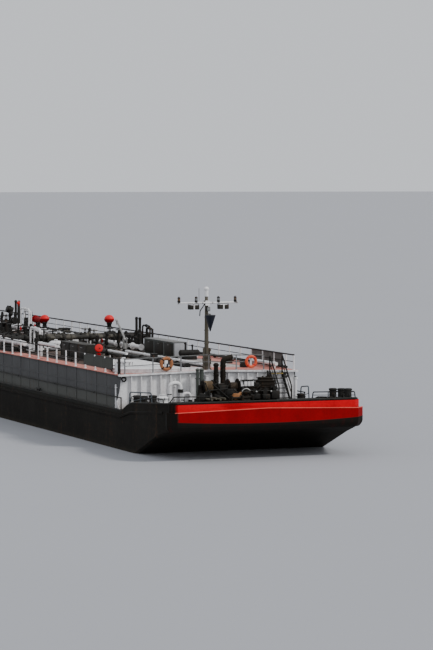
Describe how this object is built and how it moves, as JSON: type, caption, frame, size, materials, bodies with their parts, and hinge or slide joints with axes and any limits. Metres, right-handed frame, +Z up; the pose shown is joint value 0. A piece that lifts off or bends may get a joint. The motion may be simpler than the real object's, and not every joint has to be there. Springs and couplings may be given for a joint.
{
  "type": "river tank barge, 1:2 scale model",
  "caption": "Pushed river tank barge with a flat raked hull, raised cargo trunk, guard rails, deck piping, folding mast and foredeck winch, as a half-size model.",
  "frame": {"origin": "on the flat bottom, under the middle of the overall length and breadth", "axes": "+X forward to the bow, +Y to port, +Z up"},
  "size_m": [38.25, 5.7, 4.8253],
  "materials": {
    "hull_black": "satin",
    "fender_red": "satin",
    "bow_red": "satin",
    "trunk_grey": "matt",
    "deck_red": "matt",
    "white_paint": "satin",
    "gear_black": "satin",
    "pipe_grey": "satin",
    "green_grey": "matt",
    "dark_grey": "matt",
    "mast_brown": "matt",
    "cone_blue": "matt",
    "rope_brown": "rough",
    "bare_steel": "dull"
  },
  "bodies": {
    "barge": {"hull": "hull_black", "stern_fender": "gear_black", "bow_fender": "fender_red", "bow_band": "bow_red", "trunk": "trunk_grey", "trunk_deck": "deck_red", "front_bulkhead": "white_paint", "aft_bulkhead": "white_paint", "rail_starboard": "white_paint", "rail_port": "white_paint", "rail_front": "white_paint", "rail_aft": "white_paint", "side_handrail_starboard": "gear_black", "side_handrail_port": "gear_black", "cargo_line_starboard": "pipe_grey", "cargo_line_port": "white_paint", "loading_manifold": "pipe_grey", "vapour_line": "pipe_grey", "pump_riser_1": "white_paint", "pump_riser_2": "white_paint", "pump_riser_3": "white_paint", "deck_platform": "white_paint", "starboard_screen": "green_grey", "dark_locker": "dark_grey", "grey_locker": "green_grey", "port_screen": "dark_grey", "mast_tabernacle": "mast_brown", "bollards_bow_starboard": "gear_black", "bollards_bow_port": "gear_black", "bollard_break_port": "gear_black", "bollards_stern_starboard": "gear_black", "bollards_stern_port": "gear_black", "hoop_rail_starboard": "gear_black", "hoop_rail_break": "gear_black", "hoop_rail_bow": "gear_black", "winch_frame": "gear_black", "winch_engine": "dark_grey", "stairs_fore": "white_paint", "gooseneck_1": "white_paint", "gooseneck_2": "white_paint", "vent_stacks": "green_grey", "exhaust_stacks": "gear_black", "bulkhead_cabinet": "white_paint", "port_pedestal": "white_paint", "foredeck_hatch": "white_paint", "davit_socket": "dark_grey", "pump_house": "white_paint"},
    "mast": {"mast_pole": "mast_brown", "mast_arm": "mast_brown", "mast_horn": "white_paint", "day_cone": "cone_blue"},
    "hatch_lid_1": {"tank_hatch_lid_1": "white_paint"},
    "hatch_lid_2": {"tank_hatch_lid_2": "white_paint"},
    "hatch_lid_3": {"tank_hatch_lid_3": "white_paint"},
    "hatch_lid_4": {"tank_hatch_lid_4": "white_paint"},
    "drum_port": {"winch_drum_port": "rope_brown"},
    "drum_starboard": {"winch_drum_starboard": "rope_brown"},
    "davit": {"davit_post": "bare_steel"},
    "boom": {"davit_boom": "bare_steel"},
    "door": {"pump_house_door": "white_paint"}
  },
  "joints": [
    {"name": "mast_fold", "type": "hinge", "parent": "barge", "child": "mast", "pos_m": [14.36, 0, 3.1], "axis": [0, -1, 0], "range_deg": [0, 88]},
    {"name": "lid_1_open", "type": "hinge", "parent": "barge", "child": "hatch_lid_1", "pos_m": [12.53, -1.95, 2.70993], "axis": [0, -1, 0], "range_deg": [0, 110]},
    {"name": "lid_2_open", "type": "hinge", "parent": "barge", "child": "hatch_lid_2", "pos_m": [3.53, -1.1, 2.73189], "axis": [0, -1, 0], "range_deg": [0, 110]},
    {"name": "lid_3_open", "type": "hinge", "parent": "barge", "child": "hatch_lid_3", "pos_m": [-3.52, -1.1, 2.73189], "axis": [0, -1, 0], "range_deg": [0, 110]},
    {"name": "lid_4_open", "type": "hinge", "parent": "barge", "child": "hatch_lid_4", "pos_m": [-9.62, -1.1, 2.73189], "axis": [0, -1, 0], "range_deg": [0, 110]},
    {"name": "drum_port_turn", "type": "hinge", "parent": "barge", "child": "drum_port", "pos_m": [16.3, 0.045, 2.2], "axis": [0, 1, 0], "continuous": true},
    {"name": "drum_starboard_turn", "type": "hinge", "parent": "barge", "child": "drum_starboard", "pos_m": [16.3, -0.705, 2.2], "axis": [0, 1, 0], "continuous": true},
    {"name": "davit_slew", "type": "hinge", "parent": "barge", "child": "davit", "pos_m": [5.7, 0.55, 2.64079], "axis": [0, 0, 1], "range_deg": [-170, 170]},
    {"name": "boom_luff", "type": "hinge", "parent": "davit", "child": "boom", "pos_m": [5.7, 0.55, 2.9408], "axis": [0, 1, 0], "range_deg": [-10, 45]},
    {"name": "door_swing", "type": "hinge", "parent": "barge", "child": "door", "pos_m": [-17.4725, 0.22, 2.23], "axis": [0, 0, -1], "range_deg": [0, 110]}
  ]
}
